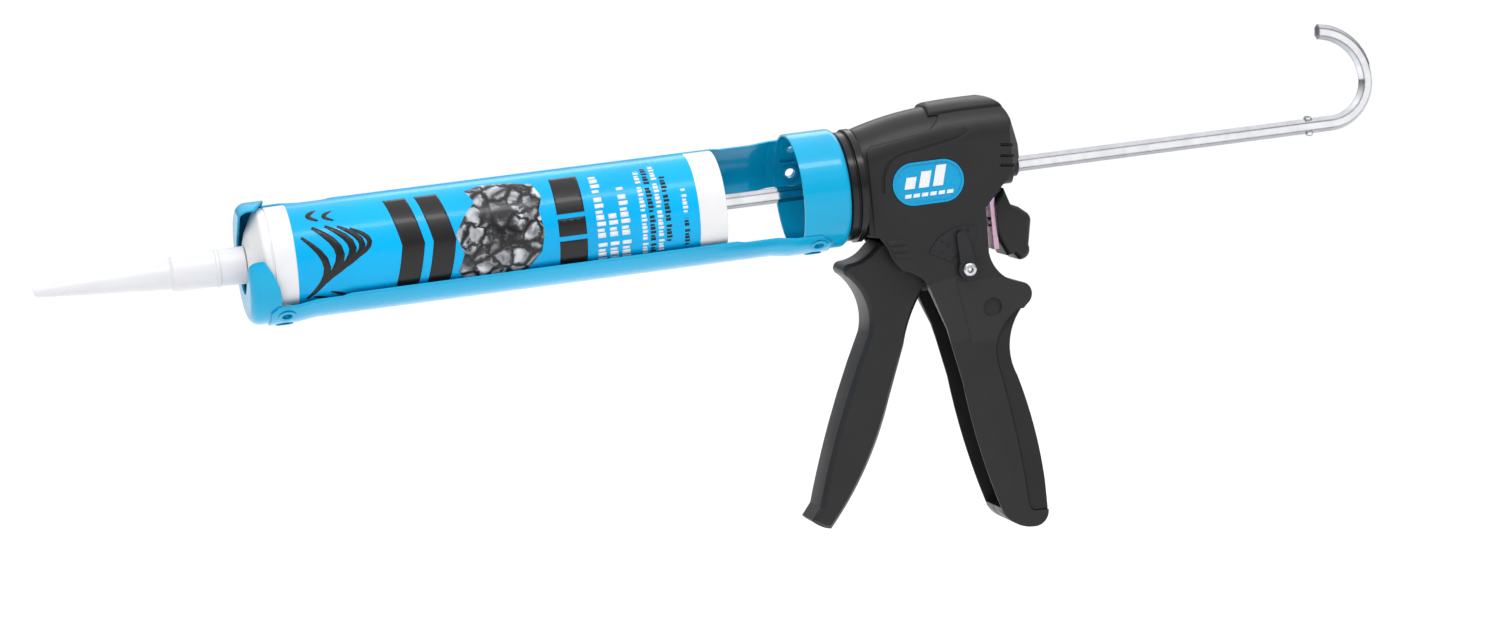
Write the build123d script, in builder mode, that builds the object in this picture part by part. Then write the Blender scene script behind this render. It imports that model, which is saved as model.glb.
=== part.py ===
from build123d import *
import os
from math import cos, pi, radians, sin, sqrt

# Skeleton-cradle caulking gun, in millimetres. The origin is the centre of the nozzle's outlet,
# the barrel runs along +X to the hook, and +Z is up.

os.makedirs("parts", exist_ok=True)


# ---------------------------------------------------------------- driving dimensions

# stations along the barrel axis
nozzle_step = 62.8
nozzle_end = 95.9
cap_face = 94.3
cap_rim = 108.0
cap_lug_end = 115.2
cartridge_front = 102.1
label_front = 116.5
label_rear = 304.0
cartridge_rear = 317.1
plunger_x = 292.0
collar_front = 353.3
collar_rear = 376.6
bush_step = 380.6
body_front = 385.2
rod_exit = 465.0
crimp_x = 613.0
hook_start = 625.0

# cradle sheet metal
sheet = 1.0
collar_radius = 28.0
rail_radius = 27.8
rail_half_width = 13.2
rail_wide_half = 14.2
upper_rail_angle = 149.0
lower_rail_angle = -71.0
slot_angle = 35.0
slot_half = 13.5
eyelet_offset = 15.0
eyelet_bore = 2.4
eyelet_shank = 3.0
eyelet_flange = 4.2
front_eyelet_x = 110.3
rear_eyelet_x = 360.8

# cartridge and nozzle
tube_radius = 24.8
tube_inner = 23.2
label_depth = 0.2
neck_radius = 6.5
tip_radius = 2.6
tip_bore = 1.9
tip_slant = 0.8

# rod and hook
rod_flats = 6.35
rod_corner = rod_flats / sqrt(3)
guide_bore = rod_corner + 0.08
hook_low_radius = 19.5
hook_high_radius = 25.3
hook_high_turn = 84.0
plunger_radius = 22.4

# swivel
spigot_radius = 14.0
spigot_front = 367.0
running_gap = 0.06
body_gap = 0.3

# grip
handle_half = 15.0
head_half = 19.4
panel_raise = 0.6
cap_raise = 1.2
roof_line = [(380.0, 24.9), (402.5, 30.9), (421.5, 33.3), (447.0, 33.9), (472.0, 33.9)]
wall = 2.4
trigger_half = 12.0
trigger_wall = 2.6
trigger_edge = 2.5
pivot_x = 430.4
pivot_z = -44.2
pivot_radius = 3.0
roller_x = 432.4
roller_z = -30.0
roller_radius = 3.0
drive_plate_x = 424.0
plate_thickness = 2.5
brake_plate_x = 447.4
brake_pivot_z = 11.0


# ---------------------------------------------------------------- helpers

def outward(angle):
    """Unit vector across the barrel axis: 0 faces -Y, 90 faces +Z."""
    a = radians(angle)
    return Vector(0, -cos(a), sin(a))


def lengthwise(angle):
    """Plane through the barrel axis with x along the barrel and y outward at the angle."""
    a = radians(angle)
    return Plane(origin=(0, 0, 0), x_dir=(1, 0, 0), z_dir=(0, -sin(a), -cos(a)))


def facing(angle, distance):
    """Plane square to the outward direction, with x along the barrel."""
    return Plane(origin=outward(angle) * distance, x_dir=(1, 0, 0), z_dir=outward(angle))


def across(x):
    """Plane square to the barrel at station x, with its normal along +X."""
    return Plane(origin=(x, 0, 0), x_dir=(0, 1, 0), z_dir=(1, 0, 0))


def turned(points):
    """Solid of revolution about the barrel from (station, radius) points."""
    with BuildPart() as piece:
        with BuildSketch(Plane.XZ):
            with BuildLine():
                Polyline(*points, close=True)
            make_face()
        revolve(axis=Axis.X)
    return piece.part


def save(part, name):
    part.label = name
    export_step(part, "parts/" + name + ".step")


# ---------------------------------------------------------------- nozzle and cartridge

nozzle_profile = [
    (-tip_slant, tip_bore),
    (-tip_slant, tip_radius),
    (nozzle_step - 1.5, 6.9),
    (nozzle_step, 8.1),
    (82.0, 8.3),
    (82.3, 8.7),
    (83.7, 8.7),
    (84.0, 8.3),
    (nozzle_end - 0.4, 8.7),
    (nozzle_end, 8.4),
    (nozzle_end, neck_radius + 0.1),
    (77.5, neck_radius + 0.1),
    (nozzle_step, 5.6),
    (9.0, tip_bore),
]

with BuildPart() as nozzle:
    add(turned(nozzle_profile))
    with BuildSketch(Plane.XZ):
        with BuildLine():
            Polyline((-3, 5), (-tip_slant * 5 / tip_radius, 5), (tip_slant * 5 / tip_radius, -5), (-3, -5), close=True)
        make_face()
    extrude(amount=5, both=True, mode=Mode.SUBTRACT)
save(nozzle.part, "nozzle")

cartridge_profile = [
    (cartridge_rear, tube_inner),
    (cartridge_rear, tube_radius),
    (label_rear, tube_radius),
    (label_rear, tube_radius - label_depth),
    (label_front, tube_radius - label_depth),
    (label_front, tube_radius),
    (106.6, tube_radius),
    (106.6, tube_radius - 0.3),
    (105.8, tube_radius - 0.3),
    (105.8, tube_radius),
    (cartridge_front + 0.8, tube_radius),
    (cartridge_front, tube_radius - 0.8),
    (97.6, 15.0),
    (96.2, 10.6),
    (96.2, neck_radius),
    (78.0, neck_radius),
    (78.0, 4.5),
    (98.4, 4.5),
    (99.6, 14.0),
    (104.0, tube_inner),
]

with BuildPart() as cartridge:
    add(turned(cartridge_profile))
save(cartridge.part, "cartridge")

with BuildPart() as label_sleeve:
    add(turned([
        (label_front, tube_radius - label_depth),
        (label_front, tube_radius + 0.05),
        (label_rear, tube_radius + 0.05),
        (label_rear, tube_radius - label_depth),
    ]))
save(label_sleeve.part, "cartridge_label")

with BuildPart() as piston:
    add(turned([
        (107.0, 0),
        (107.0, 18.0),
        (109.5, tube_inner - 0.15),
        (122.0, tube_inner - 0.15),
        (122.0, tube_inner - 1.6),
        (112.0, tube_inner - 1.8),
        (109.5, 16.0),
        (109.5, 0),
    ]))
save(piston.part, "cartridge_piston")


# ---------------------------------------------------------------- cradle

def sheet_prism(angle, start, end, half_width, nose):
    """Block that trims a curved strip to its plan outline, with chamfered corners."""
    with BuildPart() as block:
        with BuildSketch(facing(angle, 16)):
            with Locations(((start + end) / 2, 0)):
                Rectangle(end - start, 2 * half_width)
            chamfer(vertices(), nose)
        extrude(amount=20)
    return block.part


def eyelet_holes(angle, station):
    """Drill for the two eyelets at one rail end."""
    drills = []
    for side in (-1, 1):
        with BuildPart() as drill:
            with BuildSketch(facing(angle + side * eyelet_offset, 20)):
                with Locations((station, 0)):
                    Circle(eyelet_shank)
            extrude(amount=15)
        drills.append(drill.part)
    return drills


with BuildPart() as front_cap:
    corner = 5.0
    outer = collar_radius
    with BuildSketch(Plane.XZ):
        with BuildLine():
            Line((cap_face, 0), (cap_face, outer - corner))
            RadiusArc((cap_face, outer - corner), (cap_face + corner, outer), corner)
            Line((cap_face + corner, outer), (cap_rim, outer))
            Line((cap_rim, outer), (cap_rim, outer - sheet))
            Line((cap_rim, outer - sheet), (cap_face + corner, outer - sheet))
            RadiusArc((cap_face + corner, outer - sheet), (cap_face + sheet, outer - corner), sheet - corner)
            Line((cap_face + sheet, outer - corner), (cap_face + sheet, 0))
            Line((cap_face + sheet, 0), (cap_face, 0))
        make_face()
    revolve(axis=Axis.X)
    for rail_angle in (upper_rail_angle, lower_rail_angle):
        lug_ring = turned([
            (cap_rim - 1, outer - sheet),
            (cap_rim - 1, outer),
            (cap_lug_end, outer),
            (cap_lug_end, outer - sheet),
        ])
        add(lug_ring & sheet_prism(rail_angle, cap_rim - 4, cap_lug_end, rail_half_width - 1.5, 2.0))
    with BuildSketch(lengthwise(slot_angle)):
        with BuildLine():
            Polyline((cap_rim + 1, 9.5), (cap_rim, 9.5))
            ThreePointArc((cap_rim, 9.5), (106.0, 18.5), (101.2, 24.0))
            Polyline((101.2, 24.0), (100.0, 32.0), (cap_rim + 1, 32.0), (cap_rim + 1, 9.5))
        make_face()
    extrude(amount=outer, both=True, mode=Mode.SUBTRACT)
    with BuildSketch(Plane(origin=(cap_face - 1, 0, 0), x_dir=outward(slot_angle), z_dir=(1, 0, 0))):
        Circle(slot_half)
        with Locations((20, 0)):
            Rectangle(40, 2 * slot_half)
    extrude(amount=cap_rim - cap_face + 2, mode=Mode.SUBTRACT)
    for rail_angle in (upper_rail_angle, lower_rail_angle):
        for drill in eyelet_holes(rail_angle, front_eyelet_x):
            add(drill, mode=Mode.SUBTRACT)
save(front_cap.part, "front_cap")

rail_front = 103.2
rail_rear = 367.0
joggle = 9.0
tab_front_end = 116.0
tab_rear_start = 349.0

rail_profile = [
    (rail_front, collar_radius),
    (rail_front, collar_radius + sheet),
    (tab_front_end, collar_radius + sheet),
    (tab_front_end + joggle, rail_radius),
    (tab_rear_start - joggle, rail_radius),
    (tab_rear_start, collar_radius + sheet),
    (rail_rear, collar_radius + sheet),
    (rail_rear, collar_radius),
    (tab_rear_start + 0.6, collar_radius),
    (tab_rear_start - joggle + 0.6, rail_radius - sheet),
    (tab_front_end + joggle - 0.6, rail_radius - sheet),
    (tab_front_end - 0.6, collar_radius),
]


def rail(angle):
    """Curved strip that joins the cap to the collar, wider between its end tabs."""
    with BuildPart() as strip:
        add(turned(rail_profile))
        with BuildSketch(facing(angle, 10)):
            with BuildLine():
                Polyline(
                    (rail_front, rail_half_width - 3),
                    (rail_front + 3, rail_half_width),
                    (136, rail_half_width),
                    (140, rail_wide_half),
                    (321, rail_wide_half),
                    (325, rail_half_width),
                    (rail_rear - 5, rail_half_width),
                    (rail_rear, rail_half_width - 5),
                    (rail_rear, 5 - rail_half_width),
                    (rail_rear - 5, -rail_half_width),
                    (325, -rail_half_width),
                    (321, -rail_wide_half),
                    (140, -rail_wide_half),
                    (136, -rail_half_width),
                    (rail_front + 3, -rail_half_width),
                    (rail_front, 3 - rail_half_width),
                    close=True,
                )
            make_face()
        extrude(amount=25, mode=Mode.INTERSECT)
        for station in (front_eyelet_x, rear_eyelet_x):
            for drill in eyelet_holes(angle, station):
                add(drill, mode=Mode.SUBTRACT)
    return strip.part


with BuildPart() as upper_rail:
    add(rail(upper_rail_angle))
save(upper_rail.part, "upper_rail")

with BuildPart() as lower_rail:
    add(rail(lower_rail_angle))
save(lower_rail.part, "lower_rail")

with BuildPart() as rear_collar:
    bend = 3.5
    outer = collar_radius
    with BuildSketch(Plane.XZ):
        with BuildLine():
            Polyline(
                (collar_rear, spigot_radius + running_gap),
                (collar_rear, outer - bend),
            )
            RadiusArc((collar_rear, outer - bend), (collar_rear - bend, outer), -bend)
            Polyline(
                (collar_rear - bend, outer),
                (collar_front, outer),
                (collar_front, outer - sheet),
                (collar_rear - bend, outer - sheet),
            )
            RadiusArc((collar_rear - bend, outer - sheet), (collar_rear - sheet, outer - bend), bend - sheet)
            Polyline(
                (collar_rear - sheet, outer - bend),
                (collar_rear - sheet, spigot_radius + running_gap),
                (collar_rear, spigot_radius + running_gap),
            )
        make_face()
    revolve(axis=Axis.X)
    for rail_angle in (upper_rail_angle, lower_rail_angle):
        for drill in eyelet_holes(rail_angle, rear_eyelet_x):
            add(drill, mode=Mode.SUBTRACT)
        with BuildSketch(facing(rail_angle, 20)):
            with Locations((rear_eyelet_x, 0)):
                SlotOverall(9.0, 2.6)
        extrude(amount=15, mode=Mode.SUBTRACT)
save(rear_collar.part, "rear_collar")

with BuildPart() as rail_eyelets:
    for station in (front_eyelet_x, rear_eyelet_x):
        for rail_angle in (upper_rail_angle, lower_rail_angle):
            for side in (-1, 1):
                angle = rail_angle + side * eyelet_offset
                seat = sqrt((collar_radius - sheet) ** 2 - eyelet_flange ** 2) - 0.02
                with BuildSketch(facing(angle, seat - 0.5)):
                    with Locations((station, 0)):
                        Circle(eyelet_flange)
                extrude(amount=0.5)
                with BuildSketch(facing(angle, seat)):
                    with Locations((station, 0)):
                        Circle(eyelet_shank)
                extrude(amount=collar_radius + sheet - seat)
                with BuildSketch(facing(angle, collar_radius + sheet)):
                    with Locations((station, 0)):
                        Circle(eyelet_flange)
                extrude(amount=0.5, taper=30)
                with BuildSketch(facing(angle, seat - 1)):
                    with Locations((station, 0)):
                        Circle(eyelet_bore)
                extrude(amount=5, mode=Mode.SUBTRACT)
save(rail_eyelets.part, "rail_eyelets")


# ---------------------------------------------------------------- swivel

with BuildPart() as swivel_bush:
    add(turned([
        (spigot_front, guide_bore),
        (spigot_front, spigot_radius),
        (collar_rear + body_gap, spigot_radius),
        (collar_rear + body_gap, 25.2),
        (collar_rear + body_gap + 0.6, 25.8),
        (bush_step - 0.4, 25.8),
        (bush_step, 25.2),
        (bush_step + 0.5, 25.2),
        (bush_step + 0.9, 26.8),
        (body_front - 0.9, 26.8),
        (body_front - 0.4, 25.4),
        (body_front, 25.4),
        (body_front, 7.0),
        (spigot_front + 8, 7.0),
        (spigot_front + 8, guide_bore),
    ]))
save(swivel_bush.part, "swivel_bush")

with BuildPart() as swivel_washer:
    add(turned([
        (372.0, spigot_radius),
        (372.0, 20.0),
        (collar_rear - sheet - body_gap, 20.0),
        (collar_rear - sheet - body_gap, spigot_radius),
    ]))
save(swivel_washer.part, "swivel_washer")

with BuildPart() as swivel_nut:
    with BuildSketch(across(spigot_front)):
        RegularPolygon(17.0, 6, major_radius=False)
        Circle(spigot_radius, mode=Mode.SUBTRACT)
    extrude(amount=5.0)
save(swivel_nut.part, "swivel_nut")


# ---------------------------------------------------------------- rod, hook and plunger

hook_end_angle = radians(hook_high_turn)
low_centre = Vector(hook_start, 0, hook_low_radius)
high_centre = Vector(hook_start + hook_low_radius - hook_high_radius, 0, hook_low_radius)
hook_side = Vector(hook_start + hook_low_radius, 0, hook_low_radius)
low_middle = low_centre + Vector(hook_low_radius * sin(pi / 4), 0, -hook_low_radius * cos(pi / 4))
half_turn = hook_end_angle / 2
high_middle = high_centre + Vector(hook_high_radius * cos(half_turn), 0, hook_high_radius * sin(half_turn))
hook_tip = high_centre + Vector(hook_high_radius * cos(hook_end_angle), 0, hook_high_radius * sin(hook_end_angle))
rod_front = 283.5

with BuildPart() as rod:
    with BuildLine() as rod_path:
        Line((rod_front, 0, 0), (hook_start, 0, 0))
        ThreePointArc((hook_start, 0, 0), low_middle, hook_side)
        ThreePointArc(hook_side, high_middle, hook_tip)
    with BuildSketch(across(rod_front)):
        RegularPolygon(rod_flats / 2, 6, major_radius=False, rotation=30)
    sweep(path=rod_path.wires()[0])
    with BuildSketch(Plane.XZ):
        with Locations((crimp_x, 0)):
            Rectangle(3.2, 9.6)
        fillet(vertices(), 1.2)
    extrude(amount=1.4, both=True)
save(rod.part, "rod")

with BuildPart() as plunger_disc:
    add(turned([
        (plunger_x - 2.0, rod_corner + 0.1),
        (plunger_x - 2.0, 15.0),
        (plunger_x, 17.5),
        (plunger_x, plunger_radius),
        (plunger_x + 5.5, plunger_radius),
        (plunger_x + 5.5, plunger_radius - 1.4),
        (plunger_x + 1.4, plunger_radius - 1.4),
        (plunger_x + 1.4, 17.0),
        (plunger_x - 0.6, 14.5),
        (plunger_x - 0.6, rod_corner + 0.1),
    ]))
save(plunger_disc.part, "plunger_disc")

with BuildPart() as plunger_washer:
    add(turned([
        (plunger_x - 0.6, rod_corner + 0.1),
        (plunger_x - 0.6, 10.0),
        (plunger_x + 1.0, 10.0),
        (plunger_x + 1.0, rod_corner + 0.1),
    ]))
save(plunger_washer.part, "plunger_washer")

with BuildPart() as plunger_nuts:
    for station in (plunger_x - 7.0, plunger_x + 1.0):
        with BuildSketch(across(station)):
            RegularPolygon(6.5, 6, major_radius=False)
            RegularPolygon(rod_flats / 2, 6, major_radius=False, rotation=30, mode=Mode.SUBTRACT)
        extrude(amount=5.0)
save(plunger_nuts.part, "plunger_nuts")


# ---------------------------------------------------------------- grip shells

def grip_face():
    """Side outline of the head and handle, drawn on the plane of the split."""
    with BuildSketch(Plane.XZ) as face:
        with BuildLine():
            Line((body_front, -23.5), (body_front, 36.0))
            Line((body_front, 36.0), (445.0, 36.0))
            Line((445.0, 36.0), (447.0, 33.9))
            ThreePointArc((447.0, 33.9), (454.3, 31.6), (458.2, 26.0))
            Line((458.2, 26.0), (462.6, 10.5))
            Line((462.6, 10.5), (462.6, 4.2))
            Line((462.6, 4.2), (442.2, -16.8))
            Line((442.2, -16.8), (441.6, -38.0))
            ThreePointArc((441.6, -38.0), (445.6, -47.6), (457.0, -54.0))
            ThreePointArc((457.0, -54.0), (460.9, -58.6), (458.6, -64.5))
            ThreePointArc((458.6, -64.5), (449.4, -80.0), (451.0, -98.0))
            ThreePointArc((451.0, -98.0), (456.8, -124.0), (459.4, -150.0))
            Line((459.4, -150.0), (459.4, -164.5))
            ThreePointArc((459.4, -164.5), (456.8, -169.6), (451.5, -171.2))
            ThreePointArc((451.5, -171.2), (443.5, -169.0), (437.6, -163.0))
            ThreePointArc((437.6, -163.0), (429.4, -131.5), (424.2, -98.0))
            Line((424.2, -98.0), (419.0, -72.0))
            ThreePointArc((419.0, -72.0), (415.6, -62.5), (412.2, -52.7))
            ThreePointArc((412.2, -52.7), (407.4, -45.6), (400.0, -41.6))
            ThreePointArc((400.0, -41.6), (396.0, -37.2), (393.0, -30.2))
            Line((393.0, -30.2), (390.0, -24.6))
            Line((390.0, -24.6), (body_front, -23.5))
        make_face()
    return face.sketch_local


def rear_grip_face():
    """Area of the soft insert on the palm side of the handle."""
    with BuildSketch(Plane.XZ) as face:
        with BuildLine():
            Line((470.0, -66.5), (454.0, -66.5))
            ThreePointArc((454.0, -66.5), (444.4, -76.0), (441.8, -91.0))
            ThreePointArc((441.8, -91.0), (447.2, -125.0), (450.2, -160.0))
            ThreePointArc((450.2, -160.0), (451.4, -162.8), (454.2, -163.8))
            Line((454.2, -163.8), (470.0, -163.8))
            Line((470.0, -163.8), (470.0, -66.5))
        make_face()
    return face.sketch_local


badge_x = 415.7
badge_z = -1.3
badge_long = 35.0
badge_high = 20.6
badge_depth = 1.2
insert_half = 14.4
sleeve_radius = 4.6
selector_screw_radius = 2.0
dial_thickness = 0.6
lever_thickness = 2.2
pad_half = 11.0
screw_radius = 1.5
screw_head = 3.2
screw_seat = 9.0
screw_spots = [(393.0, 19.0), (452.0, 22.0), (447.5, -52.5), (446.4, -165.8)]
shoulder = 18.0
taper_top = -50.0
taper_end = -80.0
handle_lean = 0.19
handle_drop = 0.982
facet_run = 30.5
facet_depth = 4.0



def head_section(extra, top):
    """Front view of the grip: rounded over the top, flat sided, narrower at the handle."""
    side = head_half + extra
    crown = top + extra
    bend = top - shoulder
    with BuildSketch(across(380)) as face:
        with BuildLine():
            Line((-1.4, crown), (1.4, crown))
            RadiusArc((1.4, crown), (side, bend), shoulder + extra)
            Line((side, bend), (side, taper_top))
            Line((side, taper_top), (handle_half + extra, taper_end))
            Line((handle_half + extra, taper_end), (handle_half + extra, -180))
            Line((handle_half + extra, -180), (-handle_half - extra, -180))
            Line((-handle_half - extra, -180), (-handle_half - extra, taper_end))
            Line((-handle_half - extra, taper_end), (-side, taper_top))
            Line((-side, taper_top), (-side, bend))
            RadiusArc((-side, bend), (-1.4, crown), shoulder + extra)
        make_face()
    return face.sketch_local


def head_form(extra):
    """Rounded envelope of the grip, following the roof line to the rear."""
    with BuildPart() as form:
        for station, top in roof_line:
            with BuildSketch(across(station)):
                add(head_section(extra, top))
        loft()
    return form.part


with BuildPart() as panel_relief:
    # skin taken off in front of and above the raised side panel
    with BuildSketch(Plane.XZ):
        with BuildLine():
            Line((380.0, -22.9), (387.6, -22.9))
            Line((387.6, -22.9), (387.6, 14.6))
            ThreePointArc((387.6, 14.6), (388.8, 17.3), (392.0, 18.6))
            Line((392.0, 18.6), (414.4, 21.6))
            ThreePointArc((414.4, 21.6), (421.6, 24.4), (426.0, 30.6))
            Line((426.0, 30.6), (426.0, 42.0))
            Line((426.0, 42.0), (380.0, 42.0))
            Line((380.0, 42.0), (380.0, -22.9))
        make_face()
    extrude(amount=head_half + 3, both=True)
    add(head_form(-panel_raise), mode=Mode.SUBTRACT)

def handle_plane(distance):
    """Plane square to the handle, at a distance down it from the facet's start."""
    return Plane(
        origin=(410.2 + handle_lean * distance, 0, -50.0 - handle_drop * distance),
        x_dir=(-handle_drop, 0, -handle_lean),
        z_dir=(handle_lean, 0, -handle_drop),
    )


with BuildPart() as handle_facets:
    # the sides slope in towards the front edge of the handle, starting gently below the head
    for distance, half, cut in [(0, head_half, 0.05), (facet_run, handle_half, facet_depth)]:
        with BuildSketch(handle_plane(distance)):
            with BuildLine():
                Polyline((12, half - cut), (-14, half), (-14, half + 4), (12, half + 4), close=True)
            make_face()
    loft(ruled=True)
    with BuildSketch(handle_plane(facet_run)):
        with BuildLine():
            Polyline(
                (12, handle_half - facet_depth),
                (-14, handle_half),
                (-14, handle_half + 4),
                (12, handle_half + 4),
                close=True,
            )
        make_face()
    extrude(amount=100)
    mirror(about=Plane.XZ)

with BuildPart() as grip_block:
    with BuildSketch(Plane.XZ):
        add(grip_face())
    extrude(amount=head_half + 2, both=True)
    add(head_form(0), mode=Mode.INTERSECT)
    add(panel_relief.part, mode=Mode.SUBTRACT)
    add(handle_facets.part, mode=Mode.SUBTRACT)
    # the rear of the head narrows in plan
    with BuildSketch(Plane.XY.offset(-20)):
        with BuildLine():
            Polyline((457.5, head_half), (457.5, 25), (465, 25), (465, 11), close=True)
        make_face()
        mirror(about=Plane.XZ)
    extrude(amount=60, mode=Mode.SUBTRACT)

with BuildPart() as body_left:
    add(grip_block.part)
    # mechanism chamber in the head, open below for the trigger
    with BuildSketch(Plane.XZ):
        with BuildLine():
            Polyline(
                (388.7, -26.0),
                (388.7, 15.4),
                (402.5, 21.6),
                (421.5, 25.0),
                (446.5, 26.0),
                (453.0, 24.0),
                (458.4, 10.0),
                (458.4, 5.4),
                (438.8, -15.2),
                (438.4, -39.0),
                (441.6, -50.0),
                (441.6, -62.0),
                (438.8, -78.0),
                (405.0, -78.0),
                (380.0, -50.0),
                (385.0, -26.0),
                close=True,
            )
        make_face()
    extrude(amount=handle_half - wall, mode=Mode.SUBTRACT)
    with BuildSketch(Plane.XZ):
        with BuildLine():
            Polyline(
                (388.7, -26.0),
                (388.7, 9.6),
                (402.5, 15.0),
                (421.5, 17.4),
                (447.0, 17.6),
                (455.5, 8.0),
                (438.8, -12.0),
                (438.4, -39.0),
                (438.4, -48.0),
                (405.0, -48.0),
                (380.0, -50.0),
                (385.0, -26.0),
                close=True,
            )
        make_face()
    extrude(amount=head_half - wall, mode=Mode.SUBTRACT)
    # handle channel between cross ribs, open to the front
    with BuildSketch(Plane.XZ):
        with BuildLine():
            Polyline(
                (437.6, -75.0),
                (439.0, -98.0),
                (443.8, -124.0),
                (446.6, -150.0),
                (446.6, -160.5),
                (437.0, -160.5),
                (415.0, -152.0),
                (405.0, -75.0),
                close=True,
            )
        make_face()
        for x, z in [(436.5, -88.0), (440.0, -107.0), (444.0, -126.0), (447.5, -144.0)]:
            with Locations((x, z)):
                Rectangle(13, 1.8, rotation=-14, mode=Mode.SUBTRACT)
    extrude(amount=handle_half - wall, mode=Mode.SUBTRACT)
    # rod guide bosses and bores
    with BuildSketch(across(451)):
        Circle(8.6)
    extrude(amount=10.0)
    with BuildSketch(across(445)):
        Circle(5.6)
    extrude(amount=20.0, mode=Mode.SUBTRACT)
    with BuildSketch(across(380)):
        Circle(5.0)
    extrude(amount=20.0, mode=Mode.SUBTRACT)
    # slot for the release plate
    with BuildSketch(Plane.XZ):
        with Locations((446.9, -9.5)):
            Rectangle(8.6, 17.0)
    extrude(amount=11.0, mode=Mode.SUBTRACT)
    with BuildSketch(Plane.XZ):
        add(rear_grip_face())
    extrude(amount=20, mode=Mode.SUBTRACT)
    split(bisect_by=Plane.XZ, keep=Keep.TOP)
    # recess for the badge
    with BuildSketch(Plane.XZ.offset(head_half - badge_depth)):
        with Locations((badge_x, badge_z)):
            SlotOverall(badge_long, badge_high)
    extrude(amount=5, mode=Mode.SUBTRACT)
    # swept groove above the badge
    with BuildSketch(Plane.XZ.offset(head_half - 0.8)):
        with BuildLine():
            Polyline((393.3, -4.0), (393.9, 2.0))
            ThreePointArc((393.9, 2.0), (397.6, 9.6), (405.0, 13.4))
            Line((405.0, 13.4), (431.0, 17.6))
            ThreePointArc((431.0, 17.6), (436.0, 19.6), (440.0, 23.2))
            Line((440.0, 23.2), (449.0, 33.0))
        trace(line_width=1.5)
    extrude(amount=25, mode=Mode.SUBTRACT)
    # finger ribs below the badge
    for row in range(3):
        with BuildSketch(Plane.XZ.offset(head_half - 1)):
            with Locations((397.4 + 1.4 * row, -27.6 - 3.4 * row)):
                SlotOverall(9.0, 1.7, rotation=-4)
        extrude(amount=1.6)
    # grip grooves at the rear of the head and a round recess on the handle
    for z_front, z_rear in [(11.7, 10.8), (6.7, 5.7), (2.1, 1.3)]:
        with BuildSketch(Plane.XZ.offset(head_half - 1.8)):
            with Locations((455.8 + z_front / 8, (z_front + z_rear) / 2)):
                SlotOverall(9.6, 1.5, rotation=-7)
        extrude(amount=3, mode=Mode.SUBTRACT)
    with BuildSketch(Plane.XZ.offset(16.2)):
        with Locations((441.3, -63.8)):
            Circle(4.5)
    extrude(amount=4, mode=Mode.SUBTRACT)
    # bore for the selector sleeve
    with BuildSketch(Plane.XZ.offset(10)):
        with Locations((pivot_x, pivot_z)):
            Circle(sleeve_radius + running_gap)
    extrude(amount=12, mode=Mode.SUBTRACT)
    # pockets for the shell screws
    for x, z in screw_spots:
        with BuildSketch(Plane.XZ):
            with Locations((x, z)):
                Circle(screw_radius)
        extrude(amount=8, mode=Mode.SUBTRACT)
save(body_left.part, "body_left")

with BuildPart() as body_right:
    add(mirror(body_left.part, about=Plane.XZ))
    # close the selector bore and add the bearing for the trigger pin
    with BuildSketch(Plane.XZ.offset(wall - head_half)):
        with Locations((pivot_x, pivot_z)):
            Circle(sleeve_radius + 1)
    extrude(amount=-wall)
    with BuildSketch(Plane.XZ.offset(-trigger_half - body_gap)):
        with Locations((pivot_x, pivot_z)):
            Circle(pivot_radius + 2.5)
    extrude(amount=-5.0)
    with BuildSketch(Plane.XZ.offset(-trigger_half - body_gap)):
        with Locations((pivot_x, pivot_z)):
            Circle(pivot_radius)
    extrude(amount=-5.0, mode=Mode.SUBTRACT)
    # counterbores that the screws go in through
    for x, z in screw_spots:
        with BuildSketch(Plane.XZ):
            with Locations((x, z)):
                Circle(screw_radius)
        extrude(amount=-25, mode=Mode.SUBTRACT)
        with BuildSketch(Plane.XZ.offset(-screw_seat)):
            with Locations((x, z)):
                Circle(screw_head)
        extrude(amount=-20, mode=Mode.SUBTRACT)
save(body_right.part, "body_right")

with BuildPart() as body_screws:
    for x, z in screw_spots:
        with BuildSketch(Plane.XZ.offset(8)):
            with Locations((x, z)):
                Circle(screw_radius)
        extrude(amount=-8 - screw_seat)
        with BuildSketch(Plane.XZ.offset(-screw_seat)):
            with Locations((x, z)):
                Circle(screw_head)
        extrude(amount=-2.2)
        with BuildSketch(Plane.XZ.offset(-screw_seat - 2.2)):
            with Locations((x, z)):
                Rectangle(3.6, 0.9)
                Rectangle(0.9, 3.6)
        extrude(amount=1.4, mode=Mode.SUBTRACT)
save(body_screws.part, "body_screws")


def badge(side):
    """Domed pill with a raised rim, set in the side of the head."""
    with BuildPart() as plate:
        with BuildSketch(Plane.XZ.offset(side * (head_half - badge_depth))):
            with Locations((badge_x, badge_z)):
                SlotOverall(badge_long - 0.4, badge_high - 0.4)
        extrude(amount=side * (badge_depth + 0.2))
        with BuildSketch(Plane.XZ.offset(side * (head_half + 0.2))):
            with Locations((badge_x, badge_z)):
                SlotOverall(badge_long - 2.6, badge_high - 2.6)
        extrude(amount=side * -0.5, mode=Mode.SUBTRACT)
    return plate.part


with BuildPart() as badge_left:
    add(badge(1))
save(badge_left.part, "badge_left")

with BuildPart() as badge_right:
    add(badge(-1))
save(badge_right.part, "badge_right")

with BuildPart() as top_cap:
    with BuildSketch(Plane.XZ):
        with BuildLine():
            Line((420.6, 29.0), (421.2, 33.4))
            Line((421.2, 33.4), (423.4, 35.0))
            Line((423.4, 35.0), (446.0, 35.2))
            ThreePointArc((446.0, 35.2), (452.4, 33.8), (457.2, 29.0))
            Line((457.2, 29.0), (420.6, 29.0))
        make_face()
    extrude(amount=13.0, both=True)
    add(head_form(cap_raise), mode=Mode.INTERSECT)
    add(grip_block.part, mode=Mode.SUBTRACT)
save(top_cap.part, "top_cap")

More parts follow.
